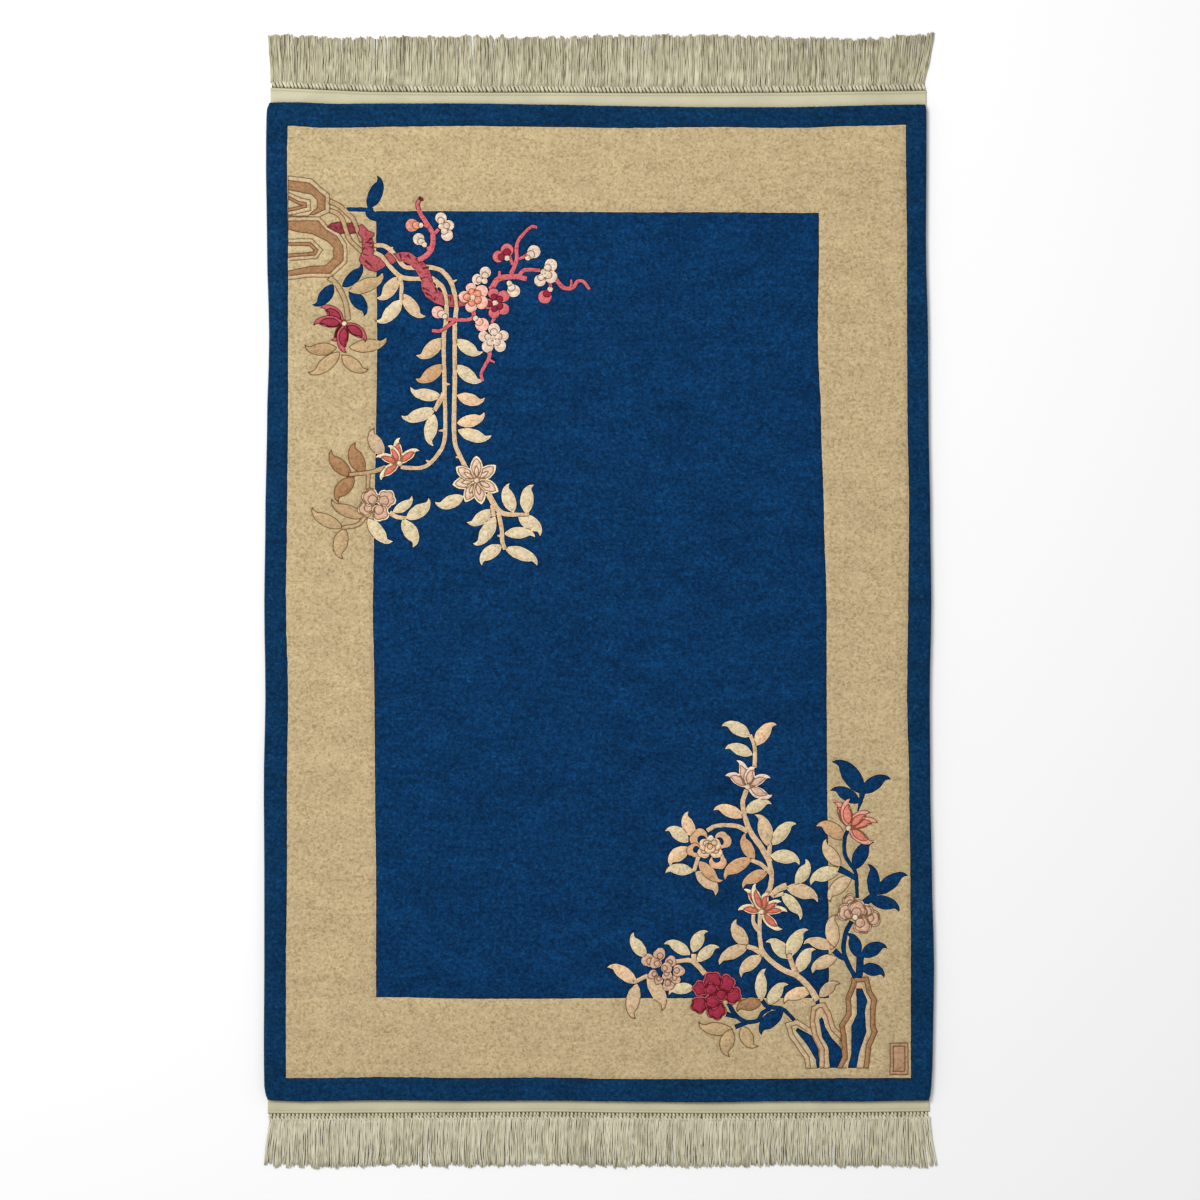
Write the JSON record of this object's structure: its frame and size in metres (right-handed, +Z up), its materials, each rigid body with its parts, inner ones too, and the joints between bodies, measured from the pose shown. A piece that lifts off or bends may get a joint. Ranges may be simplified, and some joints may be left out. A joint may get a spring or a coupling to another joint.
{
  "type": "hand-knotted rug",
  "caption": "Rectangular hand-knotted wool rug with a carved pile, plain woven end bands, overcast side cords and knotted warp fringes, lying flat.",
  "frame": {"origin": "middle of the rug, on the plane of the floor that it lies on", "axes": "+Z up; +Y along the rug's length to its far end, which is the top of the picture; +X across it, to the right in the picture"},
  "size_m": [1.2299, 2.0831, 0.015],
  "materials": {
    "pile": "cut wool pile, matt with a slight sheen, deep blue with a sand-coloured frame and flower sprays",
    "side_cord": "wool overcasting over a cord, deep blue",
    "end_band": "plain-woven cotton, ivory",
    "fringe": "twisted cotton warp ends, ivory, knotted"
  },
  "bodies": {
    "root": {"pile_body": "pile", "side_cord_left": "side_cord", "side_cord_right": "side_cord", "end_band_far": "end_band", "end_band_near": "end_band", "fringe_far": "fringe", "fringe_near": "fringe"}
  },
  "joints": []
}
